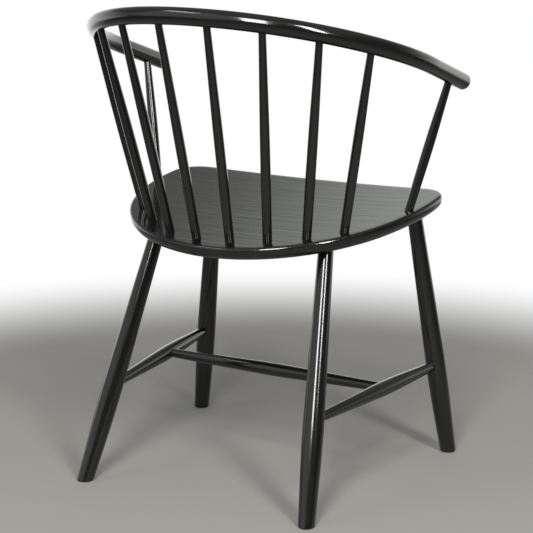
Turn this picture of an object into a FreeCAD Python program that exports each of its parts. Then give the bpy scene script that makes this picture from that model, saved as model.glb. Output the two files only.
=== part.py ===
import FreeCAD, Part
import math
import os
import Sketcher
from FreeCAD import Placement, Rotation, Vector

# Low-back windsor armchair, in millimetres, +Z up.
# The origin is on the floor under the middle of the chair. The bow is at the back, at +Y,
# the open front is at -Y, and the sitter's left hand is at +X.

DIMENSIONS = [
    ("seat_height", 419, "seat top above the floor, at the seat's own origin"),
    ("seat_shift", -9.6, "seat origin along Y"),
    ("seat_tilt", 6.6, "backward lean of the seat, degrees"),
    ("seat_thick", 22, "thickness of the seat board"),
    ("seat_back_radius", 244.5, "radius of the round back edge"),
    ("seat_back_centre", -67.6, "centre of that radius along the seat"),
    ("seat_front", -203.4, "front edge along the seat"),
    ("seat_side_angle", 19.1, "where the back edge turns into a side, degrees from +X"),
    ("seat_side_radius", 380, "radius of each side"),
    ("seat_front_radius", 1500, "slight bow of the front edge"),
    ("seat_corner_radius", 56, "radius of the two front corners"),
    ("seat_top_round", 3, "round on the upper edge"),
    ("seat_under_round", 18, "round on the lower edge"),
    ("seat_bend_radius", 2766, "the board curves up to both sides with this radius"),
    ("seat_blank_half", 275, "half the width of the board before it is sawn to shape"),
    ("rail_radius", 13.5, "radius of the bent rail's round section"),
    ("rail_tilt", 17.3, "slope of the rail, back end up, degrees"),
    ("rail_arm_height", 628.5, "rail centre above the floor, at the arm ends"),
    ("rail_arm_front", -165, "arm ends along Y"),
    ("rail_arm_length", 130, "straight run of each arm"),
    ("rail_half_width", 279.5, "rail centre from the middle plane, at the arms"),
    ("rail_side_radius", 269.9, "bend beside each arm"),
    ("rail_back_radius", 305.6, "bend across the back"),
    ("rail_end_round", 9, "round on the arm ends"),
    ("socket_circle_radius", 233.8, "circle of stick sockets on the seat"),
    ("socket_circle_centre", -89.3, "centre of that circle along the seat"),
    ("spindle_pitch_angle", 14.56, "step between spindle sockets, degrees"),
    ("post_angle", 83.5, "arm post socket, degrees from the back"),
    ("spindle_spacing", 83.7, "step between spindles along the rail"),
    ("post_from_end", 55.8, "arm post from the arm's end along the rail"),
    ("spindle_base_radius", 7.3, "spindle radius at the seat"),
    ("spindle_belly_radius", 7.8, "largest spindle radius"),
    ("spindle_top_radius", 5.8, "spindle radius at the rail"),
    ("post_base_radius", 6.9, "arm post radius at the seat"),
    ("post_belly_radius", 7.9, "largest arm post radius"),
    ("post_top_radius", 6.1, "arm post radius at the rail"),
    ("spindle_seat_depth", 14, "stick inside the seat"),
    ("spindle_rail_depth", 16, "stick inside the rail"),
    ("leg_tip_height", 400, "height where the leg top positions are taken"),
    ("front_foot_x", 243.7, "front foot from the middle plane"),
    ("front_foot_y", -219.2, "front foot along Y"),
    ("front_top_x", 190.8, "front leg top from the middle plane"),
    ("front_top_y", -183.5, "front leg top along Y"),
    ("rear_foot_x", 201.4, "rear foot from the middle plane"),
    ("rear_foot_y", 200.1, "rear foot along Y"),
    ("rear_top_x", 150.8, "rear leg top from the middle plane"),
    ("rear_top_y", 47.9, "rear leg top along Y"),
    ("leg_foot_radius", 12.5, "leg radius at the floor"),
    ("leg_belly_radius", 16.3, "leg radius at the stretcher"),
    ("leg_belly_height", 140, "thickest place above the foot, along the leg"),
    ("leg_top_radius", 12.2, "leg radius in the seat"),
    ("leg_seat_depth", 14, "leg inside the seat"),
    ("leg_foot_round", 2, "round on the edge of the foot"),
    ("side_front_height", 150.8, "side stretcher above the floor at the front leg"),
    ("side_rear_height", 147.2, "side stretcher above the floor at the rear leg"),
    ("side_belly_radius", 12, "largest radius of a side stretcher"),
    ("stretcher_end_radius", 7.6, "stretcher radius in its sockets"),
    ("side_leg_depth", 14, "side stretcher inside a leg"),
    ("cross_belly_radius", 11, "largest radius of the cross stretcher"),
    ("cross_place", 0.44, "cross stretcher along the side one, share from the front"),
    ("cross_side_depth", 9, "cross stretcher inside a side stretcher"),
    ("spindle_curve_radius", 5000, "curve of a spindle along its thickest place"),
    ("spindle_belly_share", 0.40, "thickest place of a spindle, share from the seat"),
    ("post_curve_radius", 2000, "curve of an arm post along its thickest place"),
    ("post_belly_share", 0.45, "thickest place of an arm post, share from the seat"),
    ("leg_curve_radius", 2000, "curve of a leg along its thickest place"),
    ("stretcher_curve_radius", 1500, "the same on a stretcher"),
    ("socket_mouth", 6, "straight stretch of a stick outside its socket"),
]

SIDES = (("left", 1), ("right", -1))
SPINDLES_PER_SIDE = 4
FLOOR_BLOCK = 60.0

doc = FreeCAD.newDocument("chair")
sheet = doc.addObject("Spreadsheet::Sheet", "Sizes")
pieces = []


def fill_sheet():
    """Write every driving dimension into the sheet under its alias."""
    for row, (alias, value, meaning) in enumerate(DIMENSIONS, start=1):
        sheet.set("A%d" % row, meaning)
        sheet.set("B%d" % row, str(value))
        sheet.setAlias("B%d" % row, alias)
    doc.recompute()


def size(alias):
    return float(getattr(sheet, alias))


def origin_plane(body, role):
    """One of the body's own origin planes."""
    return next(feature for feature in body.Origin.OriginFeatures if feature.Role == role)


def new_sketch(body, name, role):
    sketch = body.newObject("Sketcher::SketchObject", name)
    sketch.AttachmentSupport = [(origin_plane(body, role), "")]
    sketch.MapMode = "FlatFace"
    return sketch


def bind(sketch, constraint, name, expression):
    """Add a named constraint whose value follows an expression on the sheet."""
    index = sketch.addConstraint(constraint)
    sketch.renameConstraint(index, name)
    sketch.setExpression("Constraints." + name, expression)


def finish_piece(shape_object, label):
    shape_object.Label = label
    pieces.append(shape_object)
    return shape_object


def tangent_point(radius_here, height_here, centre_radius, centre_height, curve, sign):
    """Where a line from one end of a stick touches its belly curve."""
    dx = radius_here - centre_radius
    dz = height_here - centre_height
    reach = math.hypot(dx, dz)
    turn = math.acos(curve / reach)
    angle = math.atan2(dz, dx) + sign * turn
    return Vector(centre_radius + curve * math.cos(angle), centre_height + curve * math.sin(angle), 0)


def turned_stick(label, length, ends, belly_height, radii, curve_alias):
    """A turned stick along its own +Z.

    The section is a straight tenon, a taper, a long belly curve, a second taper and the
    other tenon. ends is the straight length at the start and at the end, and radii names
    the start, belly and end radii on the sheet.
    """
    start_alias, belly_alias, end_alias = radii
    start, belly, end = size(start_alias), size(belly_alias), size(end_alias)
    curve = size(curve_alias)
    low, high = ends[0], length - ends[1]
    centre = Vector(belly - curve, belly_height, 0)
    below = tangent_point(start, low, centre.x, centre.y, curve, 1)
    above = tangent_point(end, high, centre.x, centre.y, curve, -1)

    body = doc.addObject("PartDesign::Body", label + "_turning")
    sketch = new_sketch(body, label + "_profile", "XZ_Plane")
    corners = [Vector(0, 0, 0), Vector(start, 0, 0), Vector(start, low, 0)]
    tail = [Vector(end, high, 0), Vector(end, length, 0), Vector(0, length, 0), Vector(0, 0, 0)]
    angle_low = math.atan2(below.y - centre.y, below.x - centre.x)
    angle_high = math.atan2(above.y - centre.y, above.x - centre.x)
    belly_arc = Part.ArcOfCircle(Part.Circle(centre, Vector(0, 0, 1), curve), angle_low, angle_high)
    outline = [Part.LineSegment(corners[0], corners[1]), Part.LineSegment(corners[1], corners[2]),
               Part.LineSegment(corners[2], below), belly_arc, Part.LineSegment(above, tail[0]),
               Part.LineSegment(tail[0], tail[1]), Part.LineSegment(tail[1], tail[2]),
               Part.LineSegment(tail[2], tail[3])]
    sketch.addGeometry(outline, False)

    joins = [(0, 2, 1, 1), (1, 2, 2, 1), (4, 2, 5, 1), (5, 2, 6, 1), (6, 2, 7, 1), (7, 2, 0, 1)]
    for first, first_end, second, second_end in joins:
        sketch.addConstraint(Sketcher.Constraint("Coincident", first, first_end, second, second_end))
    sketch.addConstraint(Sketcher.Constraint("Tangent", 2, 2, 3, 1))
    sketch.addConstraint(Sketcher.Constraint("Tangent", 3, 2, 4, 1))
    sketch.addConstraint(Sketcher.Constraint("Coincident", 0, 1, -1, 1))
    for line in (0, 6):
        sketch.addConstraint(Sketcher.Constraint("Horizontal", line))
    for line in (1, 5, 7):
        sketch.addConstraint(Sketcher.Constraint("Vertical", line))
    sketch.addConstraint(Sketcher.Constraint("DistanceY", 1, 1, 1, 2, low))
    sketch.addConstraint(Sketcher.Constraint("DistanceY", 5, 1, 5, 2, ends[1]))
    sketch.addConstraint(Sketcher.Constraint("DistanceY", -1, 1, 6, 2, length))
    sketch.addConstraint(Sketcher.Constraint("DistanceY", -1, 1, 3, 3, belly_height))
    bind(sketch, Sketcher.Constraint("DistanceX", -1, 1, 0, 2, start), "start_radius",
         "Sizes." + start_alias)
    bind(sketch, Sketcher.Constraint("DistanceX", -1, 1, 5, 1, end), "end_radius", "Sizes." + end_alias)
    bind(sketch, Sketcher.Constraint("Radius", 3, curve), "belly_curve", "Sizes." + curve_alias)
    bind(sketch, Sketcher.Constraint("DistanceX", 3, 3, -1, 1, -centre.x), "curve_centre",
         "Sizes.%s - Sizes.%s" % (curve_alias, belly_alias))
    revolution = body.newObject("PartDesign::Revolution", label + "_revolution")
    revolution.Profile = sketch
    revolution.ReferenceAxis = (sketch, ["V_Axis"])
    revolution.Angle = 360
    body.Tip = revolution
    return body


def along(start, end):
    """Placement at start with +Z towards end."""
    return Placement(start, Rotation(Vector(0, 0, 1), end - start))


def seat_frame():
    return Placement(Vector(0, size("seat_shift"), size("seat_height")),
                     Rotation(Vector(1, 0, 0), -size("seat_tilt")))


def rail_frame():
    return Placement(Vector(0, size("rail_arm_front"), size("rail_arm_height")),
                     Rotation(Vector(1, 0, 0), size("rail_tilt")))


def rail_arcs():
    """Centres of the rail's bends in its own plane, and the angle where they meet."""
    half = size("rail_half_width")
    side = size("rail_side_radius")
    back = size("rail_back_radius")
    arm = size("rail_arm_length")
    drop = math.sqrt((back - side) ** 2 - (half - side) ** 2)
    return Vector(half - side, arm, 0), Vector(0, arm - drop, 0), math.atan2(half - side, drop)


def rail_path():
    """The rail's centre line in its own plane, from the left arm end to the right one."""
    half = size("rail_half_width")
    side = size("rail_side_radius")
    back = size("rail_back_radius")
    arm = size("rail_arm_length")
    side_centre, back_centre, meet = rail_arcs()
    mirror = Vector(-side_centre.x, side_centre.y, 0)
    up = Vector(0, 0, 1)
    return [
        Part.LineSegment(Vector(half, 0, 0), Vector(half, arm, 0)),
        Part.ArcOfCircle(Part.Circle(side_centre, up, side), 0, math.pi / 2 - meet),
        Part.ArcOfCircle(Part.Circle(back_centre, up, back), math.pi / 2 - meet, math.pi / 2 + meet),
        Part.ArcOfCircle(Part.Circle(mirror, up, side), math.pi / 2 + meet, math.pi),
        Part.LineSegment(Vector(-half, arm, 0), Vector(-half, 0, 0)),
    ]


def rail_point(distance):
    """Point of the rail's centre line, by its distance from the middle of the back."""
    side = size("rail_side_radius")
    back = size("rail_back_radius")
    side_centre, back_centre, meet = rail_arcs()
    back_run = back * meet
    side_run = side * (math.pi / 2 - meet)
    if distance <= back_run:
        turn = distance / back
        local = back_centre + Vector(back * math.sin(turn), back * math.cos(turn), 0)
    elif distance <= back_run + side_run:
        turn = meet + (distance - back_run) / side
        local = side_centre + Vector(side * math.sin(turn), side * math.cos(turn), 0)
    else:
        straight = distance - back_run - side_run
        local = Vector(size("rail_half_width"), size("rail_arm_length") - straight, 0)
    return rail_frame().multVec(local)


def rail_half_length():
    meet = rail_arcs()[2]
    bends = size("rail_back_radius") * meet + size("rail_side_radius") * (math.pi / 2 - meet)
    return bends + size("rail_arm_length")


def socket_point(angle):
    """Point on the seat's upper surface, on the socket circle, by its angle from the back."""
    turn = math.radians(angle)
    radius = size("socket_circle_radius")
    x = radius * math.sin(turn)
    y = size("socket_circle_centre") + radius * math.cos(turn)
    return seat_frame().multVec(Vector(x, y, bend_rise(x)))


def mirrored(point, sign):
    return Vector(sign * point.x, point.y, point.z)


def stick_between(label, kind, base, top):
    """A spindle or arm post, named by kind on the sheet, from the seat to the rail's centre line."""
    run = (top - base).Length
    depth = size("spindle_seat_depth")
    past_centre = size("spindle_rail_depth") - size("rail_radius")
    length = depth + run + past_centre
    ends = (depth + size("socket_mouth"), size("spindle_rail_depth") + size("socket_mouth"))
    stick = turned_stick(label, length, ends, depth + size(kind + "_belly_share") * run,
                         (kind + "_base_radius", kind + "_belly_radius", kind + "_top_radius"),
                         kind + "_curve_radius")
    inward = (base - top).normalize() * depth
    stick.Placement = along(base + inward, top)
    return finish_piece(stick, label)


def make_sticks():
    """Eight spindles, numbered from the middle outwards, and two arm posts."""
    sticks = []
    for side, sign in SIDES:
        for number in range(1, SPINDLES_PER_SIDE + 1):
            base = socket_point(size("spindle_pitch_angle") * (number - 0.5))
            top = rail_point(size("spindle_spacing") * (number - 0.5))
            label = "spindle_%s_%d" % (side, number)
            sticks.append(stick_between(label, "spindle", mirrored(base, sign), mirrored(top, sign)))
        base = socket_point(size("post_angle"))
        top = rail_point(rail_half_length() - size("post_from_end"))
        sticks.append(stick_between("arm_post_" + side, "post", mirrored(base, sign),
                                    mirrored(top, sign)))
    return sticks


def compound(name, members):
    group = doc.addObject("Part::Compound", name)
    group.Links = members
    return group


def cut(name, base, tool):
    result = doc.addObject("Part::Cut", name)
    result.Base = base
    result.Tool = tool
    return result


def make_rail(sticks):
    """The bent rail: one round bar along three arcs and two straight arms, with sockets."""
    body = doc.addObject("PartDesign::Body", "rail_bar")
    path = new_sketch(body, "rail_path", "XY_Plane")
    path.addGeometry(rail_path(), False)
    for first in range(4):
        path.addConstraint(Sketcher.Constraint("Tangent", first, 2, first + 1, 1))
    for line in (0, 4):
        path.addConstraint(Sketcher.Constraint("Vertical", line))
    path.addConstraint(Sketcher.Constraint("PointOnObject", 2, 3, -2))
    path.addConstraint(Sketcher.Constraint("PointOnObject", 0, 1, -1))
    path.addConstraint(Sketcher.Constraint("PointOnObject", 4, 2, -1))
    bind(path, Sketcher.Constraint("DistanceX", -1, 1, 0, 1, size("rail_half_width")), "half_width",
         "Sizes.rail_half_width")
    bind(path, Sketcher.Constraint("DistanceY", 0, 1, 0, 2, size("rail_arm_length")), "arm_length",
         "Sizes.rail_arm_length")
    bind(path, Sketcher.Constraint("Radius", 2, size("rail_back_radius")), "back_bend",
         "Sizes.rail_back_radius")
    for arc, name in ((1, "left_bend"), (3, "right_bend")):
        bind(path, Sketcher.Constraint("Radius", arc, size("rail_side_radius")), name,
             "Sizes.rail_side_radius")
    section = new_sketch(body, "rail_section", "XZ_Plane")
    section.addGeometry(Part.Circle(Vector(size("rail_half_width"), 0, 0), Vector(0, 0, 1),
                                    size("rail_radius")), False)
    section.addConstraint(Sketcher.Constraint("PointOnObject", 0, 3, -1))
    bind(section, Sketcher.Constraint("DistanceX", -1, 1, 0, 3, size("rail_half_width")), "place",
         "Sizes.rail_half_width")
    bind(section, Sketcher.Constraint("Radius", 0, size("rail_radius")), "section_radius",
         "Sizes.rail_radius")
    pipe = body.newObject("PartDesign::AdditivePipe", "rail_pipe")
    pipe.Profile = section
    pipe.Spine = path
    doc.recompute()
    ends = [index for index, edge in enumerate(pipe.Shape.Edges, start=1)
            if all(abs(vertex.Point.y) < 0.01 for vertex in edge.Vertexes)]
    rounding = body.newObject("PartDesign::Fillet", "rail_end_rounding")
    rounding.Base = (pipe, ["Edge%d" % index for index in ends])
    rounding.Radius = size("rail_end_round")
    rounding.setExpression("Radius", "Sizes.rail_end_round")
    body.Tip = rounding
    body.Placement = rail_frame()
    return finish_piece(cut("rail", body, compound("rail_sockets", sticks)), "arm_rail")


def leg_axis(which, sign):
    """Foot and seat-side points on one leg's centre line."""
    foot = Vector(sign * size(which + "_foot_x"), size(which + "_foot_y"), 0)
    tip = Vector(sign * size(which + "_top_x"), size(which + "_top_y"), size("leg_tip_height"))
    return foot, tip


def leg_point(which, sign, height):
    foot, tip = leg_axis(which, sign)
    return foot + (tip - foot) * (height / size("leg_tip_height"))


def seat_underside_hit(foot, tip):
    """Where a leg's centre line meets the seat's lower face."""
    frame = seat_frame()
    normal = frame.Rotation.multVec(Vector(0, 0, 1))
    below = frame.multVec(Vector(0, 0, bend_rise(tip.x) - size("seat_thick")))
    ray = tip - foot
    return foot + ray * ((below - foot).dot(normal) / ray.dot(normal))


def make_leg(which, side, sign, floor):
    """A turned leg, sawn flat on the floor; its tenon ends blind in the seat."""
    foot, tip = leg_axis(which, sign)
    hit = seat_underside_hit(foot, tip)
    below = 2 * size("leg_foot_radius")
    depth = size("leg_seat_depth")
    run = (hit - foot).Length
    direction = (hit - foot).normalize()
    label = "leg_%s_%s" % (which, side)
    turning = turned_stick(label, below + run + depth, (below / 2, depth + size("socket_mouth")),
                           below + size("leg_belly_height"),
                           ("leg_foot_radius", "leg_belly_radius", "leg_top_radius"),
                           "leg_curve_radius")
    turning.Placement = along(foot - direction * below, hit)
    sawn = cut(label + "_sawn", turning, floor)
    doc.recompute()
    edges = [index for index, edge in enumerate(sawn.Shape.Edges, start=1)
             if edge.BoundBox.ZMax < 0.01]
    foot_round = doc.addObject("Part::Fillet", label + "_foot")
    foot_round.Base = sawn
    foot_round.Edges = [(index, size("leg_foot_round"), size("leg_foot_round")) for index in edges]
    return turning, foot_round


def make_stretcher(label, start, end, depth, wall, belly_alias):
    """A stretcher between two centre lines; wall is the radius of what it enters."""
    direction = (end - start).normalize()
    inset = wall - depth
    run = (end - start).Length - 2 * inset
    ends = (depth + size("socket_mouth"), depth + size("socket_mouth"))
    stick = turned_stick(label, run, ends, size("cross_place") * run,
                         ("stretcher_end_radius", belly_alias, "stretcher_end_radius"),
                         "stretcher_curve_radius")
    stick.Placement = along(start + direction * inset, end)
    return stick


def make_undercarriage():
    """Four legs, two side stretchers and the cross stretcher between them."""
    floor = doc.addObject("Part::Box", "below_floor")
    floor.Length = 3 * size("front_foot_x")
    floor.Width = 3 * size("front_foot_x")
    floor.Height = FLOOR_BLOCK
    floor.Placement = Placement(Vector(-floor.Length.Value / 2, -floor.Width.Value / 2, -FLOOR_BLOCK),
                                Rotation())
    turnings = []
    side_bars = {}
    middle = {}
    for side, sign in SIDES:
        front = leg_point("front", sign, size("side_front_height"))
        rear = leg_point("rear", sign, size("side_rear_height"))
        label = "stretcher_" + side
        side_bars[side] = make_stretcher(label, front, rear, size("side_leg_depth"),
                                         size("leg_belly_radius"), "side_belly_radius")
        middle[side] = front + (rear - front) * size("cross_place")
        for which in ("front", "rear"):
            turning, leg = make_leg(which, side, sign, floor)
            turnings.append(turning)
            finish_piece(cut("leg_%s_%s_socketed" % (which, side), leg, side_bars[side]),
                         "leg_%s_%s" % (which, side))
    cross = make_cross(middle["left"], middle["right"])
    for side, sign in SIDES:
        finish_piece(cut("stretcher_%s_socketed" % side, side_bars[side], cross), "stretcher_" + side)
    finish_piece(cross, "stretcher_cross")
    return turnings


def make_cross(left, right):
    """The cross stretcher, thickest in its middle."""
    inset = size("side_belly_radius") - size("cross_side_depth")
    direction = (right - left).normalize()
    run = (right - left).Length - 2 * inset
    ends = (size("cross_side_depth") + size("socket_mouth"),) * 2
    stick = turned_stick("stretcher_cross", run, ends, run / 2,
                         ("stretcher_end_radius", "cross_belly_radius", "stretcher_end_radius"),
                         "stretcher_curve_radius")
    stick.Placement = along(left + direction * inset, right)
    return stick


def circles_meet(first, first_radius, second, second_radius):
    """The crossing of two circles that lies to the right of the way from first to second."""
    gap = (second - first).Length
    ahead = (second - first).normalize()
    along = (first_radius ** 2 - second_radius ** 2 + gap ** 2) / (2 * gap)
    aside = math.sqrt(first_radius ** 2 - along ** 2)
    return first + ahead * along + Vector(ahead.y, -ahead.x, 0) * aside


def direction(start, end):
    """Angle of the way from start to end in the sketch."""
    return math.atan2(end.y - start.y, end.x - start.x)


def seat_outline():
    """The seat's edge in its own plane: back, left side, corner, front, corner, right side."""
    radius = size("seat_back_radius")
    side = size("seat_side_radius")
    corner = size("seat_corner_radius")
    front = size("seat_front_radius")
    join = math.radians(size("seat_side_angle"))
    centre = Vector(0, size("seat_back_centre"), 0)
    side_centre = centre + Vector(math.cos(join), math.sin(join), 0) * (radius - side)
    front_centre = Vector(0, size("seat_front") + front, 0)
    corner_centre = circles_meet(side_centre, side - corner, front_centre, front - corner)
    side_meet = direction(side_centre, corner_centre)
    front_meet = direction(front_centre, corner_centre)
    up = Vector(0, 0, 1)

    def arc(middle, size_here, start, end):
        return Part.ArcOfCircle(Part.Circle(middle, up, size_here), start, end)

    return [
        arc(centre, radius, join, math.pi - join),
        arc(mirrored(side_centre, -1), side, math.pi - join, math.pi - side_meet),
        arc(mirrored(corner_centre, -1), corner, math.pi - side_meet, math.pi - front_meet),
        arc(front_centre, front, -math.pi - front_meet, front_meet),
        arc(corner_centre, corner, front_meet, side_meet),
        arc(side_centre, side, side_meet, join),
    ]


def bend_rise(x):
    """How far the bent board stands above its middle, x to one side."""
    radius = size("seat_bend_radius")
    return radius - math.sqrt(radius ** 2 - x ** 2)


def bent_section():
    """Front view of the bent board: two concentric arcs between upright ends."""
    radius = size("seat_bend_radius")
    outer = radius + size("seat_thick")
    half = size("seat_blank_half")
    centre = Vector(0, radius, 0)
    up = Vector(0, 0, 1)
    spread = math.asin(half / radius)
    outer_spread = math.asin(half / outer)
    top = bend_rise(half)
    bottom = radius - math.sqrt(outer ** 2 - half ** 2)
    down = -0.5 * math.pi
    return [
        Part.ArcOfCircle(Part.Circle(centre, up, outer), down - outer_spread, down + outer_spread),
        Part.LineSegment(Vector(half, bottom, 0), Vector(half, top, 0)),
        Part.ArcOfCircle(Part.Circle(centre, up, radius), down - spread, down + spread),
        Part.LineSegment(Vector(-half, top, 0), Vector(-half, bottom, 0)),
    ]


def make_bent_board(body):
    """The seat blank, an even board bent about an axis that runs front to back."""
    section = new_sketch(body, "seat_section", "XZ_Plane")
    section.addGeometry(bent_section(), False)
    for first, first_end, second, second_end in ((0, 2, 1, 1), (1, 2, 2, 2), (2, 1, 3, 1), (3, 2, 0, 1)):
        section.addConstraint(Sketcher.Constraint("Coincident", first, first_end, second, second_end))
    section.addConstraint(Sketcher.Constraint("Coincident", 0, 3, 2, 3))
    section.addConstraint(Sketcher.Constraint("PointOnObject", 0, 3, -2))
    for line in (1, 3):
        section.addConstraint(Sketcher.Constraint("Vertical", line))
    bind(section, Sketcher.Constraint("DistanceY", -1, 1, 0, 3, size("seat_bend_radius")), "bend_centre",
         "Sizes.seat_bend_radius")
    bind(section, Sketcher.Constraint("Radius", 2, size("seat_bend_radius")), "upper_bend",
         "Sizes.seat_bend_radius")
    bind(section, Sketcher.Constraint("Radius", 0, size("seat_bend_radius") + size("seat_thick")),
         "lower_bend", "Sizes.seat_bend_radius + Sizes.seat_thick")
    bind(section, Sketcher.Constraint("DistanceX", -1, 1, 1, 1, size("seat_blank_half")), "right_end",
         "Sizes.seat_blank_half")
    bind(section, Sketcher.Constraint("DistanceX", 3, 1, -1, 1, size("seat_blank_half")), "left_end",
         "Sizes.seat_blank_half")
    blank = body.newObject("PartDesign::Pad", "seat_blank")
    blank.Profile = section
    blank.Midplane = True
    blank.setExpression("Length", "2 * Sizes.seat_blank_half")
    return blank


def make_sawn_board(body):
    """Saw the blank to the seat's outline: the pocket takes what lies outside it."""
    sketch = new_sketch(body, "seat_outline", "XY_Plane")
    sketch.addGeometry(seat_outline(), False)
    for first in range(6):
        sketch.addConstraint(Sketcher.Constraint("Tangent", first, 2, (first + 1) % 6, 1))
    for arc in (0, 3):
        sketch.addConstraint(Sketcher.Constraint("PointOnObject", arc, 3, -2))
    bind(sketch, Sketcher.Constraint("DistanceY", 0, 3, -1, 1, -size("seat_back_centre")), "back_centre",
         "-Sizes.seat_back_centre")
    bind(sketch, Sketcher.Constraint("DistanceY", -1, 1, 3, 3,
                                     size("seat_front") + size("seat_front_radius")), "front_centre",
         "Sizes.seat_front + Sizes.seat_front_radius")
    bind(sketch, Sketcher.Constraint("Radius", 3, size("seat_front_radius")), "front_radius",
         "Sizes.seat_front_radius")
    bind(sketch, Sketcher.Constraint("Radius", 0, size("seat_back_radius")), "back_radius",
         "Sizes.seat_back_radius")
    for arcs, alias in (((1, 5), "seat_side_radius"), ((2, 4), "seat_corner_radius")):
        for arc in arcs:
            bind(sketch, Sketcher.Constraint("Radius", arc, size(alias)), "%s_%d" % (alias, arc),
                 "Sizes." + alias)
    reach = 2 * size("seat_blank_half")
    corners = [Vector(x * reach, y * reach, 0) for x, y in ((-1, -1), (1, -1), (1, 1), (-1, 1))]
    sketch.addGeometry([Part.LineSegment(corners[n], corners[(n + 1) % 4]) for n in range(4)], False)
    for n in range(4):
        sketch.addConstraint(Sketcher.Constraint("Coincident", 6 + n, 2, 6 + (n + 1) % 4, 1))
    sawn = body.newObject("PartDesign::Pocket", "seat_sawing")
    sawn.Profile = sketch
    sawn.Type = "ThroughAll"
    sawn.Midplane = True
    return sawn


def outline_edges(shape, level):
    """Names of the outline's edges that lie on the bent surface, level above its middle."""
    names = []
    for index, edge in enumerate(shape.Edges, start=1):
        points = [vertex.Point for vertex in edge.Vertexes]
        points.append(edge.valueAt((edge.FirstParameter + edge.LastParameter) / 2))
        if all(abs(surface_offset(point) - level) < 0.01 for point in points):
            names.append("Edge%d" % index)
    return names


def surface_offset(point):
    """Signed distance of a point from the board's upper surface, up is positive."""
    radius = size("seat_bend_radius")
    return radius - math.hypot(point.x, radius - point.z)


def make_seat(tenons):
    """The seat: a bent board with rounded edges and blind sockets."""
    body = doc.addObject("PartDesign::Body", "seat_board")
    make_bent_board(body)
    doc.recompute()
    sawn = make_sawn_board(body)
    doc.recompute()
    base = sawn
    for name, level, alias in (("seat_under_rounding", -size("seat_thick"), "seat_under_round"),
                               ("seat_top_rounding", 0, "seat_top_round")):
        rounding = body.newObject("PartDesign::Fillet", name)
        rounding.Base = (base, outline_edges(base.Shape, level))
        rounding.Radius = size(alias)
        rounding.setExpression("Radius", "Sizes." + alias)
        doc.recompute()
        base = rounding
    body.Tip = base
    body.Placement = seat_frame()
    return finish_piece(cut("seat_socketed", body, compound("seat_sockets", tenons)), "seat")


def check_document():
    """Stop on any failed object, and on any piece that isn't one valid solid."""
    for item in doc.Objects:
        if "Invalid" in item.State or "Error" in item.State:
            raise RuntimeError("%s is %s" % (item.Label, item.State))
    for piece in pieces:
        shape = piece.Shape
        if shape.isNull() or not shape.isValid() or len(shape.Solids) != 1:
            raise RuntimeError("%s has a bad shape" % piece.Label)


def write_pieces():
    os.makedirs("parts", exist_ok=True)
    for piece in pieces:
        piece.Shape.exportStep("parts/%s.step" % piece.Label)
        box = piece.Shape.BoundBox
        print("%-18s %9.0f mm3  x %.1f %.1f  y %.1f %.1f  z %.1f %.1f" % (
            piece.Label, piece.Shape.Volume, box.XMin, box.XMax, box.YMin, box.YMax, box.ZMin, box.ZMax))


fill_sheet()
sticks = make_sticks()
leg_turnings = make_undercarriage()
doc.recompute()
make_rail(sticks)
make_seat(sticks + leg_turnings)
doc.recompute()
check_document()
write_pieces()
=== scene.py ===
# %% [markdown]
# # A black windsor armchair
#
# The real chair is a bent board seat on four splayed legs, with a round rail that is bent
# in one sweep to make the back and both arms. Ten slim sticks carry the rail. All of it is
# wood under one coat of black satin lacquer.
#
# The construction model is loaded first and stays as it is. It gives the places and the
# sizes. Every piece is then drawn again with numpy, because the grain has to follow each
# piece's own wood, round a bend as well. The facets are finer too, for a close look.

# %% Load the fixed frame
import math

import bpy
import numpy as np
from mathutils import Matrix, Vector


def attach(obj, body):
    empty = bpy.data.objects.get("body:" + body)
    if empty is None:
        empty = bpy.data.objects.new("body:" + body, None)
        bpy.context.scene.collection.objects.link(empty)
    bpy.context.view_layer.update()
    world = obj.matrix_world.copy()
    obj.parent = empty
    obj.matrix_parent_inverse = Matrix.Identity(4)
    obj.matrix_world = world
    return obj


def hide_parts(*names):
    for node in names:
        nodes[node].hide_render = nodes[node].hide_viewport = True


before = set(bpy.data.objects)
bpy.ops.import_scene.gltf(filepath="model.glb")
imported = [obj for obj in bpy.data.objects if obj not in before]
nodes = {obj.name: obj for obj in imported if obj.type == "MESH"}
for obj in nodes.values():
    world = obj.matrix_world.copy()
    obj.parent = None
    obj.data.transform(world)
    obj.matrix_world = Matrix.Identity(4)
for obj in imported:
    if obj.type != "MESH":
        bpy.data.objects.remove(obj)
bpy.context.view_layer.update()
scene = bpy.context.scene
scene.view_settings.view_transform = "Standard"

# %% [markdown]
# ## The camera
#
# The photograph looks down at the chair from behind, on the sitter's right. The camera was
# found by matching the feet, the rail and the seat's edge, which gives a place, three
# angles and a focal length in pixels. A lens in millimetres is that length scaled from
# the picture's width to the sensor's width.

# %% Camera
PICTURE_WIDTH = 533
FOCAL_PIXELS = 1740.0
SENSOR_WIDTH = 36.0
CAMERA_PLACE = Vector((-1.3623, 2.3391, 0.9701))
CAMERA_YAW = math.radians(29.885)
CAMERA_PITCH = math.radians(13.23)


def view_axes():
    """Right, up and backward axes of the camera, from its yaw and its pitch."""
    ahead = Vector((math.sin(CAMERA_YAW) * math.cos(CAMERA_PITCH),
                    -math.cos(CAMERA_YAW) * math.cos(CAMERA_PITCH),
                    -math.sin(CAMERA_PITCH)))
    right = ahead.cross(Vector((0, 0, 1))).normalized()
    return right, right.cross(ahead), -ahead


def add_camera():
    """A camera at its place, turned by its three axes."""
    lens = bpy.data.cameras.new("camera")
    lens.sensor_width = SENSOR_WIDTH
    lens.lens = FOCAL_PIXELS * SENSOR_WIDTH / PICTURE_WIDTH
    camera = bpy.data.objects.new("camera", lens)
    turn = Matrix(view_axes()).transposed()
    camera.matrix_world = Matrix.Translation(CAMERA_PLACE) @ turn.to_4x4()
    scene.collection.objects.link(camera)
    scene.camera = camera
    print("lens", round(lens.lens, 1), "mm")


add_camera()

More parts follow.
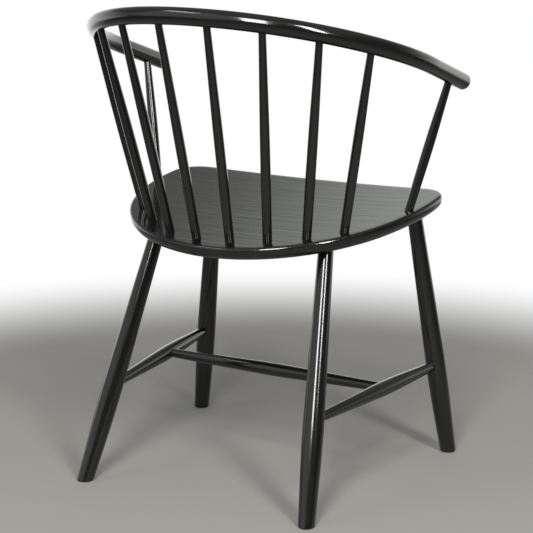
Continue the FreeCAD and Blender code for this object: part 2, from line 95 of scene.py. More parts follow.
# %% [markdown]
# ## Node helpers
#
# Materials are small graphs. A few helpers keep them readable: one adds a node with its
# settings, one makes a node group with named inputs and outputs, so that an effect is built
# once and each finish only sets its own values, and three write common sums in one line.

# %% Node helpers


def add_node(tree, kind, inputs=None, **settings):
    """A node of the given kind. inputs maps a socket to a value or to another socket."""
    node = tree.nodes.new(kind)
    for name, value in settings.items():
        setattr(node, name, value)
    for name, value in (inputs or {}).items():
        if isinstance(value, bpy.types.NodeSocket):
            tree.links.new(value, node.inputs[name])
        else:
            node.inputs[name].default_value = value
    return node


def new_group(name, inputs, outputs):
    """An empty node group with its sockets, given as (name, type, default) rows."""
    group = bpy.data.node_groups.new(name, "ShaderNodeTree")
    for socket_name, kind, default in inputs:
        socket = group.interface.new_socket(socket_name, in_out="INPUT", socket_type=kind)
        if default is not None:
            socket.default_value = default
    for socket_name, kind in outputs:
        group.interface.new_socket(socket_name, in_out="OUTPUT", socket_type=kind)
    return group, group.nodes.new("NodeGroupInput"), group.nodes.new("NodeGroupOutput")


def fade(tree, value, start, end, low=0.0, high=1.0):
    """A value that eases from low to high while the input goes from start to end."""
    ramp = add_node(tree, "ShaderNodeMapRange",
                    {"Value": value, "From Min": start, "From Max": end,
                     "To Min": low, "To Max": high},
                    interpolation_type="SMOOTHSTEP")
    return ramp.outputs["Result"]


def math_node(tree, operation, first, second=None):
    """The result of one sum on one or two values."""
    inputs = {0: first} if second is None else {0: first, 1: second}
    return add_node(tree, "ShaderNodeMath", inputs, operation=operation).outputs[0]


def dot(tree, vector, direction):
    """How far a vector points along a direction."""
    return add_node(tree, "ShaderNodeVectorMath", {0: vector, 1: direction},
                    operation="DOT_PRODUCT").outputs["Value"]


# %% [markdown]
# ## Light for black gloss
#
# Black lacquer has hardly any colour of its own. What the eye reads as the chair's shape is
# what the gloss mirrors: brightness beyond the chair, two tall lamps behind the camera and
# a pale floor below. Directions are easier to judge from the camera than in the chair's own
# axes, so this cell turns one into the other.

# %% Directions as the camera sees them
AHEAD = Vector((math.sin(CAMERA_YAW), -math.cos(CAMERA_YAW), 0))
RIGHT = Vector((-math.cos(CAMERA_YAW), -math.sin(CAMERA_YAW), 0))


def seen_direction(azimuth, elevation):
    """Azimuth 0 points back to the camera and grows to the picture's right, in degrees."""
    a, e = math.radians(azimuth), math.radians(elevation)
    level = -AHEAD * math.cos(a) + RIGHT * math.sin(a)
    return level * math.cos(e) + Vector((0, 0, math.sin(e)))


print("ahead of the camera", [round(value, 3) for value in AHEAD])

# %% [markdown]
# ## The world
#
# The camera sees plain white. A matt surface gets an even, modest light. A gloss gets more:
# a bright band ahead that is strongest near the floor and dims higher up, a soft glow at
# the left, and dim surroundings behind. The Light Path node tells these three apart, so the
# gloss can be shaped without more light on the chair. A lamp of that size would stand in
# the way of other views.

# %% World
WORLD_DIFFUSE = 0.45
WORLD_TINT = (0.97, 1.0, 0.965, 1)
AHEAD_EDGE = (-0.15, 0.75)
AHEAD_GLOW = (-0.05, 0.30, 1.7, 0.99)
AHEAD_DIMMING = (0.31, 0.43, 1.0, 0.28)
SIDE_GLOW_AT = (-62, 22)
SIDE_GLOW = (0.74, 0.93, 0.0, 0.75)
OVERHEAD_GLOW = (0.45, 0.9, 0.07, 0.35)


def mirrored_level(tree):
    """Brightness that a gloss sees: each fade takes a direction's share and eases with it."""
    way = add_node(tree, "ShaderNodeTexCoord").outputs["Generated"]
    height = dot(tree, way, (0, 0, 1))
    bright = math_node(tree, "MULTIPLY", fade(tree, height, *AHEAD_GLOW),
                       fade(tree, height, *AHEAD_DIMMING))
    side = fade(tree, dot(tree, way, seen_direction(*SIDE_GLOW_AT)), *SIDE_GLOW)
    dim = math_node(tree, "ADD", fade(tree, height, *OVERHEAD_GLOW), side)
    ahead = fade(tree, dot(tree, way, AHEAD), *AHEAD_EDGE)
    return add_node(tree, "ShaderNodeMix", {0: ahead, 2: dim, 3: bright}).outputs[0]


def add_world():
    """White for the camera, even for matt surfaces, shaped for gloss."""
    world = bpy.data.worlds.new("studio")
    world.use_nodes = True
    scene.world = world
    tree = world.node_tree
    tree.nodes.clear()
    ray = add_node(tree, "ShaderNodeLightPath").outputs
    gloss = math_node(tree, "MAXIMUM", ray["Is Glossy Ray"], ray["Is Transmission Ray"])
    level = add_node(tree, "ShaderNodeMix", {0: gloss, 2: WORLD_DIFFUSE, 3: mirrored_level(tree)})
    strength = add_node(tree, "ShaderNodeMix",
                        {0: ray["Is Camera Ray"], 2: level.outputs[0], 3: 1.0})
    tint = add_node(tree, "ShaderNodeMix", {0: gloss, 6: (1, 1, 1, 1), 7: WORLD_TINT},
                    data_type="RGBA")
    light = add_node(tree, "ShaderNodeBackground",
                     {"Color": tint.outputs[2], "Strength": strength.outputs[0]})
    out = add_node(tree, "ShaderNodeOutputWorld")
    tree.links.new(light.outputs[0], out.inputs["Surface"])
    print("world with", len(tree.nodes), "nodes")


add_world()

# %% [markdown]
# ## The lamps
#
# Two tall lamps behind the camera draw the two bright streaks along the back of the rail
# and down the near leg. A small bluish one at the left draws the thin streak on the bend.
# Area lamps do this, because a streak has the shape of the lamp that it mirrors. Each is
# given by what it looks like from the chair: direction, distance, size and brightness.

# %% Lamps
LAMPS_FACE = Vector((0, 0, 0.45))
BLUISH = (0.85, 0.93, 1.0)


def add_lamp(name, azimuth, elevation, distance, size, radiance, color=(1, 1, 1)):
    """A flat lamp that faces the chair. Its watts are pi times its area times its radiance."""
    lamp = bpy.data.lights.new(name, "AREA")
    lamp.shape = "RECTANGLE"
    lamp.size, lamp.size_y = size
    lamp.energy = math.pi * size[0] * size[1] * radiance
    lamp.color = color
    holder = bpy.data.objects.new(name, lamp)
    way = seen_direction(azimuth, elevation)
    holder.location = LAMPS_FACE + way * distance
    holder.rotation_mode = "QUATERNION"
    holder.rotation_quaternion = way.to_track_quat("Z", "Y")
    scene.collection.objects.link(holder)
    print(name, round(lamp.energy), "W")


add_lamp("tall_lamp_left", -13, 36, 4.0, (1.0, 2.3), 24.0)
add_lamp("tall_lamp_right", 29, 36, 4.0, (0.56, 2.3), 34.0)
add_lamp("side_lamp", -76, 52, 3.6, (1.3, 0.35), 9.0, BLUISH)

# %% [markdown]
# ## The floor
#
# A matt disc catches the chair's shadow. Away from the chair it turns into the white
# background: for the camera everywhere, and for gloss only on the side ahead, where the
# chair mirrors brightness. Both come from mixing in an emission, which needs no lamp.

# %% Floor
FLOOR_RADIUS = 14.0
FLOOR_MIDDLE = 1.5
FLOOR_STEPS = 96
FLOOR_NEAR = (0.215, 0.21, 0.195, 1)
FLOOR_FAR = (0.10, 0.10, 0.10, 1)
FLOOR_DARKENS = (0.7, 1.8)
FLOOR_WHITENS = (0.80, 1.40)
FLOOR_MIRRORS_WHITE = (0.75, 0.95)
FLOOR_MIRROR_LEVEL = (0.8, 2.2, 0.35, 1.7)


def floor_disc():
    """A flat disc: rings of radius r times the cosine and the sine of an even turn."""
    turn = np.linspace(0, 2 * np.pi, FLOOR_STEPS, endpoint=False)
    circle = np.stack([np.cos(turn), np.sin(turn), 0 * turn], 1)
    points = np.concatenate([FLOOR_MIDDLE * circle, FLOOR_RADIUS * circle])
    here = np.arange(FLOOR_STEPS)
    after = (here + 1) % FLOOR_STEPS
    ring = np.stack([here, here + FLOOR_STEPS, after + FLOOR_STEPS, after], 1)
    mesh = bpy.data.meshes.new("floor")
    mesh.from_pydata(points.tolist(), [], [here.tolist()] + ring.tolist())
    return mesh


def floor_whiteness(tree, away, forward, ray):
    """How far the floor is background: for the camera by distance, for gloss ahead only."""
    for_gloss = math_node(tree, "MULTIPLY", ray["Is Glossy Ray"],
                          fade(tree, forward, *FLOOR_MIRRORS_WHITE))
    for_camera = math_node(tree, "MULTIPLY", ray["Is Camera Ray"],
                           fade(tree, away, *FLOOR_WHITENS))
    return math_node(tree, "MAXIMUM", for_gloss, for_camera)


def floor_material():
    """Pale matt floor that turns into the white background away from the chair."""
    material = bpy.data.materials.new("pale_floor")
    material.use_nodes = True
    tree = material.node_tree
    tree.nodes.clear()
    place = add_node(tree, "ShaderNodeTexCoord").outputs["Object"]
    away = add_node(tree, "ShaderNodeVectorMath", {0: place}, operation="LENGTH").outputs["Value"]
    forward = dot(tree, place, AHEAD)
    ray = add_node(tree, "ShaderNodeLightPath").outputs
    white = floor_whiteness(tree, away, forward, ray)
    color = add_node(tree, "ShaderNodeMix",
                     {0: fade(tree, away, *FLOOR_DARKENS), 6: FLOOR_NEAR, 7: FLOOR_FAR},
                     data_type="RGBA")
    matt = add_node(tree, "ShaderNodeBsdfPrincipled",
                    {"Base Color": color.outputs[2], "Roughness": 0.75, "Specular IOR Level": 0.2})
    level = add_node(tree, "ShaderNodeMix",
                     {0: ray["Is Glossy Ray"], 2: 1.0, 3: fade(tree, forward, *FLOOR_MIRROR_LEVEL)})
    glow = add_node(tree, "ShaderNodeEmission",
                    {"Color": (1, 1, 1, 1), "Strength": level.outputs[0]})
    mix = add_node(tree, "ShaderNodeMixShader",
                   {0: white, 1: matt.outputs[0], 2: glow.outputs[0]})
    out = add_node(tree, "ShaderNodeOutputMaterial")
    tree.links.new(mix.outputs[0], out.inputs["Surface"])
    return material


floor = bpy.data.objects.new("floor", floor_disc())
floor.data.materials.append(floor_material())
scene.collection.objects.link(floor)
print("floor radius", FLOOR_RADIUS, "m")

# %% [markdown]
# ## Wood under lacquer
#
# The lacquer is thin, so the wood still shows: fine pores run along each stick, and broad
# bands differ a little in depth. Two noise patterns give this, squeezed along the grain. A
# photograph of wood would need flattening round every stick, and noise in three dimensions
# doesn't. The group puts out a tone for colour and gloss, and a height for the relief.

# %% Grain group
GRAIN_STRETCH = 0.06
PORE_EDGE = (0.34, 0.50)
BAND_EDGE = (0.30, 0.70)
PORES_IN_TONE = 0.35


def make_grain_group():
    """Grain along Z: noise in coordinates whose Z is squeezed by the stretch."""
    group, given, result = new_group(
        "wood_grain_along_z",
        [("Vector", "NodeSocketVector", None), ("Pores", "NodeSocketFloat", 900.0),
         ("Bands", "NodeSocketFloat", 70.0), ("Pore Share", "NodeSocketFloat", 0.1)],
        [("Tone", "NodeSocketFloat"), ("Height", "NodeSocketFloat")])
    squeezed = add_node(group, "ShaderNodeVectorMath",
                        {0: given.outputs["Vector"], 1: (1, 1, GRAIN_STRETCH)},
                        operation="MULTIPLY")
    pores = add_node(group, "ShaderNodeTexNoise",
                     {"Vector": squeezed.outputs[0], "Scale": given.outputs["Pores"],
                      "Detail": 2.0})
    bands = add_node(group, "ShaderNodeTexNoise",
                     {"Vector": squeezed.outputs[0], "Scale": given.outputs["Bands"],
                      "Detail": 3.0, "Roughness": 0.5, "Distortion": 0.9})
    pits = fade(group, pores.outputs["Fac"], *PORE_EDGE)
    depth = fade(group, bands.outputs["Fac"], *BAND_EDGE)
    tone = add_node(group, "ShaderNodeMix", {0: PORES_IN_TONE, 2: depth, 3: pits})
    height = add_node(group, "ShaderNodeMix",
                      {0: given.outputs["Pore Share"], 2: bands.outputs["Fac"], 3: pits})
    group.links.new(tone.outputs[0], result.inputs["Tone"])
    group.links.new(height.outputs[0], result.inputs["Height"])
    return group


grain_group = make_grain_group()
print("grain group", len(grain_group.nodes), "nodes")

# %% [markdown]
# ## The lacquer
#
# One finish serves the whole chair. Black is never quite black: where the film is thin it
# is a little lighter and a little duller. A weak second coat on top gives each streak its
# sharp core. The relief's depth is in metres, so a few hundredths of a millimetre are
# enough to break a streak up softly. Legs show more pores than the slim sticks, and the
# seat shows broad waves.

# %% Lacquer material
LACQUER_DEEP = (0.0028, 0.0030, 0.0028, 1)
LACQUER_THIN = (0.0062, 0.0062, 0.0056, 1)
LACQUER_GLOSS = (0.0, 1.0, 0.15, 0.125)
RELIEF = 0.00004


def lacquer_material(name, relief=RELIEF, pore_share=0.1):
    """Black satin lacquer over grain that runs along each piece's own place in the wood."""
    material = bpy.data.materials.new(name)
    material.use_nodes = True
    tree = material.node_tree
    tree.nodes.clear()
    place = add_node(tree, "ShaderNodeAttribute", attribute_name="grain").outputs["Vector"]
    grain = add_node(tree, "ShaderNodeGroup", node_tree=grain_group)
    tree.links.new(place, grain.inputs["Vector"])
    grain.inputs["Pore Share"].default_value = pore_share
    color = add_node(tree, "ShaderNodeMix",
                     {0: grain.outputs["Tone"], 6: LACQUER_THIN, 7: LACQUER_DEEP},
                     data_type="RGBA")
    gloss = fade(tree, grain.outputs["Tone"], *LACQUER_GLOSS)
    bump = add_node(tree, "ShaderNodeBump",
                    {"Height": grain.outputs["Height"], "Strength": 1.0, "Distance": relief})
    surface = add_node(tree, "ShaderNodeBsdfPrincipled",
                       {"Base Color": color.outputs[2], "Roughness": gloss, "IOR": 1.5,
                        "Coat Weight": 0.15, "Coat Roughness": 0.05,
                        "Normal": bump.outputs["Normal"]})
    out = add_node(tree, "ShaderNodeOutputMaterial")
    tree.links.new(surface.outputs[0], out.inputs["Surface"])
    print("finish", name)
    return material


# %% [markdown]
# ## From points to a piece
#
# Rail, sticks and seat are all one kind of surface: closed rings of points, one after the
# other, with a single point at each end. So one helper joins the rings with faces and
# another makes the object. Every point also carries its place in the straight wood, from
# before it was bent, and the grain reads that.

# %% Mesh helpers


def surface_object(name, points, faces, grain, body="root"):
    """A smooth mesh object whose points carry their place in the straight wood."""
    mesh = bpy.data.meshes.new(name)
    mesh.from_pydata(points.tolist(), [], faces)
    place = mesh.attributes.new("grain", "FLOAT_VECTOR", "POINT")
    place.data.foreach_set("vector", grain.astype(np.float32).ravel())
    mesh.shade_smooth()
    piece = bpy.data.objects.new(name, mesh)
    scene.collection.objects.link(piece)
    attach(piece, body)
    print(name, len(points), "points", len(faces), "faces")
    return piece


def tube_faces(rings, sides):
    """Quads between closed rings, and a fan at each end to the two last points."""
    ring, side = np.meshgrid(np.arange(rings - 1), np.arange(sides), indexing="ij")
    after = (side + 1) % sides
    here = ring * sides
    ahead = here + sides
    quads = np.stack([here + side, here + after, ahead + after, ahead + side], -1).reshape(-1, 4)
    edge = np.arange(sides)
    following = (edge + 1) % sides
    last_ring = (rings - 1) * sides
    tip = np.full(sides, rings * sides)
    first = np.stack([following, edge, tip], 1)
    last = np.stack([last_ring + edge, last_ring + following, tip + 1], 1)
    return quads.tolist() + first.tolist() + last.tolist()


# %% [markdown]
# ## The bent rail
#
# The rail was one straight round bar, steamed and bent, so its grain runs along the bow. It
# could be a curve object with a round bevel, but that keeps no place in the straight bar.
# A sweep does: a centre line of three arcs and two straight arms, with a circle carried
# along it. The flat bow is then tilted, so that the back stands higher than the arms.

# %% Rail sizes, in metres
RAIL_RADIUS = 0.0134
RAIL_HALF_WIDTH = 0.2795
RAIL_SIDE_BEND = 0.2699
RAIL_BACK_BEND = 0.3056
RAIL_ARM = 0.130
RAIL_ARM_FRONT = -0.165
RAIL_ARM_HEIGHT = 0.6285
RAIL_TILT = math.radians(17.3)
RAIL_END_ROUND = 0.009
RAIL_RINGS = 420
RAIL_SIDES = 56
RAIL_END_RINGS = 12

# %% [markdown]
# ## The rail's centre line
#
# A bar that is bent round a form has no corners: neighbouring arcs share a tangent. The
# line is followed by its own length, as a tape along the bar would be, so the grain is
# neither stretched nor squeezed in the bends.

# %% Rail centre line


def rail_line(run):
    """Centre line by the distance from the middle of the back, right side positive in -X.

    Near the middle it is an arc of the back bend. Past the angle where both bends share a
    tangent it is an arc of the side bend, and past a quarter turn a straight arm. On an arc
    the turn is the length over the radius, and a point is the arc's centre plus the radius
    times the sine and the cosine of the turn.
    Returns points and the outward direction, both in the rail's own plane.
    """
    side = np.sign(run)
    way = np.abs(run)
    aside = RAIL_HALF_WIDTH - RAIL_SIDE_BEND
    drop = math.sqrt((RAIL_BACK_BEND - RAIL_SIDE_BEND) ** 2 - aside ** 2)
    meet = math.atan2(aside, drop)
    back_run = RAIL_BACK_BEND * meet
    side_run = RAIL_SIDE_BEND * (math.pi / 2 - meet)
    turn = np.where(way < back_run, way / RAIL_BACK_BEND, meet + (way - back_run) / RAIL_SIDE_BEND)
    turn = np.minimum(turn, math.pi / 2)
    on_back = way < back_run
    radius = np.where(on_back, RAIL_BACK_BEND, RAIL_SIDE_BEND)
    x = np.where(on_back, 0, aside) + radius * np.sin(turn)
    y = RAIL_ARM - np.where(on_back, drop, 0) + radius * np.cos(turn)
    y = y - np.maximum(way - back_run - side_run, 0)
    points = np.stack([-side * x, y], 1)
    outward = np.stack([-side * np.sin(turn), np.cos(turn)], 1)
    half_length = back_run + side_run + RAIL_ARM
    return points, outward, half_length


RAIL_HALF_LENGTH = rail_line(np.array([0.0]))[2]
print("rail length", round(2 * RAIL_HALF_LENGTH, 3), "m")

# %% [markdown]
# ## The rail's body
#
# A circle at every step of the line makes the bar. Both ends are rounded over, as a maker
# would with a rasp, because hands hold them.

# %% Rail piece


def make_rail():
    """A circle of the rail's radius carried along its line.

    At each end the radius follows a quarter circle: it is the full radius, less the round,
    plus the height of that circle at the distance from the end.
    """
    quarter = np.linspace(0, 0.5 * np.pi, RAIL_END_RINGS, endpoint=False)
    end = RAIL_END_ROUND * (1 - np.cos(quarter))
    middle = np.linspace(RAIL_END_ROUND, 2 * RAIL_HALF_LENGTH - RAIL_END_ROUND, RAIL_RINGS)
    travel = np.concatenate([end, middle, 2 * RAIL_HALF_LENGTH - end[::-1]])
    to_end = np.minimum(np.minimum(travel, 2 * RAIL_HALF_LENGTH - travel), RAIL_END_ROUND)
    height = np.sqrt(RAIL_END_ROUND ** 2 - (RAIL_END_ROUND - to_end) ** 2)
    radius = RAIL_RADIUS - RAIL_END_ROUND + height
    run = travel - RAIL_HALF_LENGTH
    centre, outward, _ = rail_line(run)
    angle = np.linspace(2 * np.pi, 0, RAIL_SIDES, endpoint=False)
    out = radius[:, None] * np.cos(angle)[None, :]
    up = radius[:, None] * np.sin(angle)[None, :]
    flat = centre[:, None, :] + outward[:, None, :] * out[:, :, None]
    local = np.concatenate([flat, up[:, :, None]], 2).reshape(-1, 3)
    grain = np.stack([out, up, np.broadcast_to(run[:, None], out.shape)], 2).reshape(-1, 3)
    tips = np.concatenate([centre[[0, -1]], np.zeros((2, 1))], 1)
    local = np.concatenate([local, tips])
    grain = np.concatenate([grain, [[0, 0, run[0]], [0, 0, run[-1]]]])
    cos, sin = math.cos(RAIL_TILT), math.sin(RAIL_TILT)
    points = np.stack([local[:, 0], RAIL_ARM_FRONT + local[:, 1] * cos - local[:, 2] * sin,
                       RAIL_ARM_HEIGHT + local[:, 1] * sin + local[:, 2] * cos], 1)
    return surface_object("bent_rail", points, tube_faces(len(travel), RAIL_SIDES), grain)


rail = make_rail()
rail.data.materials.append(lacquer_material("lacquer_rail"))
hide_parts("arm_rail")

# %% [markdown]
# ## The turned sticks
#
# Spindles, posts, legs and stretchers were turned on a lathe from straight wood, so the
# grain runs along each stick's own axis. The construction model gives each stick's place
# and length. Its section is turned again here, so that every point knows its place in the
# wood: a plain tenon, a taper, a long arc for the belly, a taper and the other tenon.

# %% Stick sizes, in metres
# Each row: radius at the start, the belly and the end, curve of the belly, plain length at
# the start and at the end, and the belly's place as a length and a share of the whole.
STICK_SIZES = {
    "spindle": (0.0073, 0.0078, 0.0058, 5.0, 0.020, 0.022, 0.0074, 0.40),
    "arm_post": (0.0069, 0.0079, 0.0061, 2.0, 0.020, 0.022, 0.0066, 0.45),
    "leg": (0.0125, 0.0163, 0.0122, 2.0, -0.0125, 0.020, 0.140, 0.0),
    "stretcher_cross": (0.0076, 0.0110, 0.0076, 1.5, 0.015, 0.015, 0.0, 0.5),
    "stretcher": (0.0076, 0.0120, 0.0076, 1.5, 0.020, 0.020, 0.0, 0.44),
}
STICK_RINGS = 70
STICK_SIDES = 40
STICK_FIT = 0.995
START_HINT = (0.01, 0.3, 1.0)
END_STRETCH = 0.015
FOOT_ROUND = 0.002
FOOT_RINGS = 8
FOOT_SLANT = 0.06
GRAIN_STEP = 2.0
print("kinds of stick:", ", ".join(STICK_SIZES))

# %% [markdown]
# ## Finding a stick's axis
#
# The construction piece is only a cloud of points here. The direction in which the points
# spread most is nearly the axis, but a socket on one side pulls it a little. The middles of
# the two round ends don't move, so the line between them is the axis.

# %% Measure a stick


def piece_points(node):
    """The points of a construction piece in the scene's own frame."""
    flat = np.empty(len(node.data.vertices) * 3)
    node.data.vertices.foreach_get("co", flat)
    place = np.array(node.matrix_world)
    return flat.reshape(-1, 3) @ place[:3, :3].T + place[:3, 3]


def square_axes(axis):
    """Two directions that are square to the axis and to each other."""
    side = np.cross(axis, (0, 0, 1) if abs(axis[2]) < 0.7 else (0, 1, 0))
    side = side / np.linalg.norm(side)
    return side, np.cross(axis, side)


def stick_axis(points):
    """A point on the axis and its direction, first by spread, then by the two end middles."""
    axis = np.linalg.svd(points - points.mean(0), full_matrices=False)[2][0]
    axis = axis * np.sign(axis @ START_HINT)
    for _ in range(3):
        along = points @ axis
        directions = square_axes(axis)
        middles = []
        for near in (along < along.min() + END_STRETCH, along > along.max() - END_STRETCH):
            middle = axis * along[near].mean()
            for way in directions:
                spread = points[near] @ way
                middle = middle + way * 0.5 * (spread.min() + spread.max())
            middles.append(middle)
        axis = (middles[1] - middles[0]) / np.linalg.norm(middles[1] - middles[0])
    return middles[0], axis


# %% [markdown]
# ## Turning a stick
#
# A lathe makes a round section at every height, so a stick is a radius as a function of the
# way along, carried round the axis. A leg ends in a flat foot that was sawn level with the
# floor and not square to the leg. Its lowest rings therefore lean, and the edge is rounded.

# %% Turn a stick


def contact(reach, rise, curve, side):
    """Turn on the belly's circle where a line from outside touches it.

    The line from a point at (p, q) from the centre touches where p sin a + q cos a is the
    circle's radius, so a is the point's own turn less or plus acos(radius / distance).
    """
    return math.atan2(reach, rise) - side * math.acos(min(1, curve / math.hypot(reach, rise)))


def stick_radius(along, length, sizes):
    """Radius by the distance from the stick's start.

    The belly is an arc: its centre's height plus the root of the curve squared less the
    distance from the belly squared. Straight tapers touch it on both sides and end at the
    plain tenons.
    """
    start, belly, end, curve, plain_start, plain_end, fixed, share = sizes
    place = fixed + share * length
    centre = belly - curve
    low, high = plain_start, length - plain_end
    turns = np.array([contact(low - place, start - centre, curve, -1),
                      contact(high - place, end - centre, curve, 1)])
    touch = place + curve * np.sin(turns)
    height = centre + curve * np.cos(turns)
    tapers = np.interp(along, [low, touch[0], touch[1], high], [start, height[0], height[1], end])
    arc = centre + np.sqrt(curve ** 2 - (along - place) ** 2)
    return STICK_FIT * np.where((along > touch[0]) & (along < touch[1]), arc, tapers)


def stick_place(node, kind):
    """Start on the axis, direction and length. A leg starts where its axis meets the floor."""
    model = piece_points(node)
    base, axis = stick_axis(model)
    if kind == "leg":
        base = base - axis * base[2] / axis[2]
    else:
        base = base + axis * ((model - base) @ axis).min()
    return base, axis, ((model - base) @ axis).max()


def sawn_foot(run, radius, rise, axis_rise):
    """Round the foot's edge and lean the lowest rings until the last lies on the floor.

    The edge loses its round less the root of the round squared less what is left of it
    squared. A point moves along by its own rise over the axis' rise, less and less up to
    the slant's height.
    """
    left = np.clip(FOOT_ROUND - run * axis_rise, 0, FOOT_ROUND)
    radius = radius - FOOT_ROUND + np.sqrt(FOOT_ROUND ** 2 - left ** 2)
    return run - radius * rise / axis_rise * np.clip(1 - run / FOOT_SLANT, 0, 1), radius


def turn_stick(node, number):
    """A point is the axis at its way along plus the radius times a direction round the axis."""
    kind = next(kind for kind in STICK_SIZES if node.name.startswith(kind))
    base, axis, length = stick_place(node, kind)
    foot = np.linspace(0, FOOT_ROUND, FOOT_RINGS) / axis[2] if kind == "leg" else np.zeros(1)
    run = np.concatenate([foot, np.linspace(foot[-1], length, STICK_RINGS)[1:]])[:, None]
    angle = np.linspace(0, 2 * np.pi, STICK_SIDES, endpoint=False)
    side, up = square_axes(axis)
    around = np.cos(angle)[:, None] * side + np.sin(angle)[:, None] * up
    radius = stick_radius(run, length, STICK_SIZES[kind]) + 0 * angle
    along = run + 0 * angle
    if kind == "leg":
        along, radius = sawn_foot(run, radius, around[:, 2], axis[2])
    rings = base + along[:, :, None] * axis + radius[:, :, None] * around
    ends = base + np.array([run[0], run[-1]]) * axis
    points = np.concatenate([rings.reshape(-1, 3), ends])
    offset = GRAIN_STEP * number
    grain = np.stack([radius * np.cos(angle), radius * np.sin(angle), along + offset], 2)
    tips = [[0, 0, run[0, 0] + offset], [0, 0, run[-1, 0] + offset]]
    grain = np.concatenate([grain.reshape(-1, 3), tips])
    return surface_object(node.name + "_turned", points, tube_faces(len(run), STICK_SIDES), grain)


# %% [markdown]
# ## All the sticks
#
# A loop over the construction model turns every stick once more. Legs get a finish with
# more pores than the slim sticks, and each stick reads the grain two metres further on, so
# that no two look alike.

# %% Finish the sticks
leg_finish = lacquer_material("lacquer_leg", pore_share=0.25)
slim_finish = lacquer_material("lacquer_slim_stick", pore_share=0.08)
sticks = [node for name, node in nodes.items() if name not in ("seat", "arm_rail")]
for number, node in enumerate(sticks):
    piece = turn_stick(node, number)
    piece.data.materials.append(leg_finish if node.name.startswith("leg") else slim_finish)
    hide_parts(node.name)
print("finished", len(sticks), "sticks")

# %% [markdown]
# ## The seat
#
# The seat is a board that was bent so that both sides curve up, sawn to an outline of arcs
# and rounded, little above and more below. It could be an extruded outline with a Bevel
# modifier, but the two edges differ and the whole board is bent. So its rim is one profile
# carried round the outline, and the bend is a height that is added to every point.

# %% Seat sizes, in metres
SEAT_HEIGHT = 0.419
SEAT_SHIFT = -0.0096
SEAT_TILT = math.radians(-6.6)
SEAT_THICK = 0.022
SEAT_BEND = 2.766
SEAT_TOP_ROUND = 0.0045
SEAT_UNDER_ROUND = 0.0170
SEAT_BACK_RADIUS = 0.2445
SEAT_BACK_CENTRE = -0.0676
SEAT_SIDE_RADIUS = 0.380
SEAT_SIDE_ANGLE = math.radians(19.1)
SEAT_CORNER_RADIUS = 0.056
SEAT_FRONT = -0.2034
SEAT_FRONT_RADIUS = 1.5
SEAT_FLAT_INSET = 0.024
SEAT_ARC_STEPS = (90, 70, 40, 60)
SEAT_TOP_STEPS = 12
SEAT_UNDER_STEPS = 22
SEAT_INNER_RINGS = 24
print("seat", round(1000 * SEAT_THICK), "mm thick, bent to a radius of", SEAT_BEND, "m")

# %% [markdown]
# ## The seat's outline
#
# A sawyer follows a line that has no corners: a round back, flatter sides, two tight front
# corners and an almost straight front. Neighbouring arcs share a tangent, and that rule is
# enough to work out where each of them ends.

# %% Seat outline


def outline_arcs():
    """Centre, radius and end angles of the arcs on the left half, from the back to the front.

    Neighbours share a tangent: their centres lie on one line with the point where they
    meet. The corner's centre is where two circles cross that keep this rule for the side
    and for the front.
    """
    back = np.array([0, SEAT_BACK_CENTRE])
    way = np.array([math.cos(SEAT_SIDE_ANGLE), math.sin(SEAT_SIDE_ANGLE)])
    side = back + way * (SEAT_BACK_RADIUS - SEAT_SIDE_RADIUS)
    front = np.array([0, SEAT_FRONT + SEAT_FRONT_RADIUS])
    reach_side = SEAT_SIDE_RADIUS - SEAT_CORNER_RADIUS
    reach_front = SEAT_FRONT_RADIUS - SEAT_CORNER_RADIUS
    gap = front - side
    distance = np.hypot(*gap)
    ahead = gap / distance
    along = (reach_side ** 2 - reach_front ** 2 + distance ** 2) / (2 * distance)
    aside = math.sqrt(reach_side ** 2 - along ** 2)
    corner = side + ahead * along + np.array([ahead[1], -ahead[0]]) * aside
    side_end = math.atan2(*(corner - side)[::-1])
    front_end = math.atan2(*(corner - front)[::-1])
    return [(back, SEAT_BACK_RADIUS, math.pi / 2, SEAT_SIDE_ANGLE),
            (side, SEAT_SIDE_RADIUS, SEAT_SIDE_ANGLE, side_end),
            (corner, SEAT_CORNER_RADIUS, side_end, front_end),
            (front, SEAT_FRONT_RADIUS, front_end, -math.pi / 2)]


def outline_loop():
    """Points and outward directions once round the seat, clockwise from the back's middle.

    A point is its arc's centre plus the radius times the cosine and the sine of an even
    turn. The right half mirrors the left one.
    """
    points, outward = [], []
    for (centre, radius, start, end), count in zip(outline_arcs(), SEAT_ARC_STEPS):
        turn = np.linspace(start, end, count, endpoint=False)
        way = np.stack([np.cos(turn), np.sin(turn)], 1)
        points.append(centre + radius * way)
        outward.append(way)
    front = np.array([[0, SEAT_FRONT]])
    left = np.concatenate(points + [front])
    left_out = np.concatenate(outward + [[[0, -1]]])
    mirror = np.array([-1, 1])
    return (np.concatenate([left, left[-2:0:-1] * mirror]),
            np.concatenate([left_out, left_out[-2:0:-1] * mirror]))


loop, loop_out = outline_loop()
print("seat outline", len(loop), "points, width", round(float(np.ptp(loop[:, 0])), 4), "m")

# %% [markdown]
# ## The seat's board
#
# The rings start in the middle of the upper side, grow to the rim, follow the rim's profile
# down and shrink again below. The grain runs from side to side, so a point's place in the
# wood has the chair's X along the pattern's Z.

# %% Seat piece


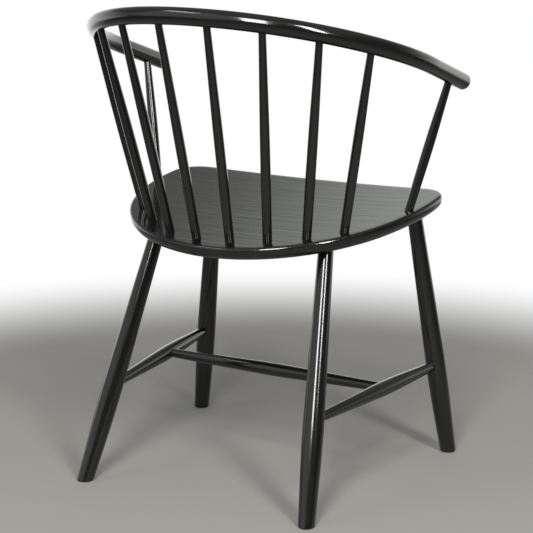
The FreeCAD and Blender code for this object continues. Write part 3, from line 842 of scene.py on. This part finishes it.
def seat_profile():
    """Inset from the outline and depth below the top, round the rim.

    The upper edge is a quarter circle: inset is its radius times one minus the sine, depth
    is its radius times one minus the cosine. The lower edge is the same the other way up.
    """
    above = np.linspace(0, np.pi / 2, SEAT_TOP_STEPS)
    top = SEAT_TOP_ROUND * (1 - np.stack([np.sin(above), np.cos(above)], 1))
    below = np.linspace(0, np.pi / 2, SEAT_UNDER_STEPS)
    under = np.stack([SEAT_UNDER_ROUND * (1 - np.cos(below)),
                      SEAT_THICK - SEAT_UNDER_ROUND * (1 - np.sin(below))], 1)
    flat_top = [[SEAT_FLAT_INSET, 0], [0.5 * SEAT_FLAT_INSET, 0]]
    flat_under = [[SEAT_FLAT_INSET, SEAT_THICK]]
    return np.concatenate([flat_top, top, under, flat_under])


def make_seat():
    """The profile carried round the outline, closed by rings that shrink to the middle.

    Everything is then lifted by the bend: the radius less the root of its square less x
    squared.
    """
    middle = np.array([0, SEAT_BACK_CENTRE])
    rim = [(loop - loop_out * inset, depth) for inset, depth in seat_profile()]
    shrink = np.linspace(0, 1, SEAT_INNER_RINGS + 2)[1:-1]
    top = [(middle + (rim[0][0] - middle) * share, 0.0) for share in shrink]
    under = [(middle + (rim[-1][0] - middle) * share, SEAT_THICK) for share in shrink[::-1]]
    rings = top + rim + under
    flat = np.concatenate([points for points, depth in rings] + [[middle, middle]])
    depths = [np.full(len(loop), value) for points, value in rings]
    depth = np.concatenate(depths + [[0, SEAT_THICK]])
    lean = flat[:, 0] / SEAT_BEND
    x = flat[:, 0] + depth * lean
    z = SEAT_BEND - np.sqrt(SEAT_BEND ** 2 - flat[:, 0] ** 2) - depth * np.sqrt(1 - lean ** 2)
    cos, sin = math.cos(SEAT_TILT), math.sin(SEAT_TILT)
    points = np.stack([x, SEAT_SHIFT + flat[:, 1] * cos - z * sin,
                       SEAT_HEIGHT + flat[:, 1] * sin + z * cos], 1)
    grain = np.stack([flat[:, 1], z, x], 1)
    return surface_object("seat_board", points, tube_faces(len(rings), len(loop)), grain)


seat = make_seat()
seat.data.materials.append(lacquer_material("lacquer_seat", relief=0.0002, pore_share=0.02))
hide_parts("seat")
